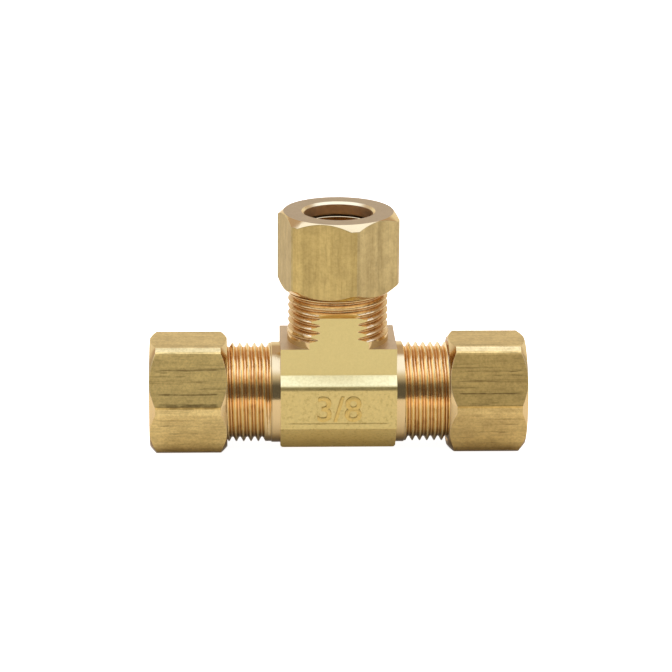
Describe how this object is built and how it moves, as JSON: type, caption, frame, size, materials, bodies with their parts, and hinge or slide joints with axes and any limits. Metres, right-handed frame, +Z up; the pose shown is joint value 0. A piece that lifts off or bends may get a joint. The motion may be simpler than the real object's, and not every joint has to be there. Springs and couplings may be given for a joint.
{
  "type": "compression tee fitting",
  "caption": "Brass compression tee for plumbing tube: forged body with threaded legs, each closed by a hexagon nut over a loose tapered ferrule that grips the tube.",
  "frame": {"origin": "below the point where the run and branch axes cross, on the plane of the run nuts' lower flats", "axes": "+X along the run to the right-hand port, +Y to the back, +Z up along the branch, out of its port"},
  "size_m": [0.054, 0.018, 0.0349],
  "materials": {
    "forged_brass": "satin forged and blasted brass, with turned legs, necks and faces",
    "bar_brass": "drawn bar brass with lengthwise lines on the flats and turned ends",
    "turned_brass": "bright turned brass"
  },
  "bodies": {
    "tee": {"tee_body": "forged_brass"},
    "left_ferrule": {"left_ferrule": "turned_brass"},
    "left_nut": {"left_nut": "bar_brass"},
    "right_ferrule": {"right_ferrule": "turned_brass"},
    "right_nut": {"right_nut": "bar_brass"},
    "branch_ferrule": {"branch_ferrule": "turned_brass"},
    "branch_nut": {"branch_nut": "bar_brass"}
  },
  "joints": [
    {"name": "left_ferrule_travel", "type": "slide", "parent": "tee", "child": "left_ferrule", "axis": [-1, 0, 0], "range_m": [-0.00026, 0.00529]},
    {"name": "left_nut_turn", "type": "hinge", "parent": "left_ferrule", "child": "left_nut", "pos_m": [0, 0, 0.00794], "axis": [-1, 0, 0], "range_deg": [-90, 1800]},
    {"name": "right_ferrule_travel", "type": "slide", "parent": "tee", "child": "right_ferrule", "axis": [1, 0, 0], "range_m": [-0.00026, 0.00529]},
    {"name": "right_nut_turn", "type": "hinge", "parent": "right_ferrule", "child": "right_nut", "pos_m": [0, 0, 0.00794], "axis": [1, 0, 0], "range_deg": [-90, 1800]},
    {"name": "branch_ferrule_travel", "type": "slide", "parent": "tee", "child": "branch_ferrule", "axis": [0, 0, 1], "range_m": [-0.00026, 0.00529]},
    {"name": "branch_nut_turn", "type": "hinge", "parent": "branch_ferrule", "child": "branch_nut", "pos_m": [0, 0, 0.00794], "axis": [0, 0, 1], "range_deg": [-90, 1800]}
  ],
  "couplings": [
    {"joint": "left_ferrule_travel", "follows": "left_nut_turn", "m_per_rad": 0.00016844},
    {"joint": "right_ferrule_travel", "follows": "right_nut_turn", "m_per_rad": 0.00016844},
    {"joint": "branch_ferrule_travel", "follows": "branch_nut_turn", "m_per_rad": 0.00016844}
  ]
}
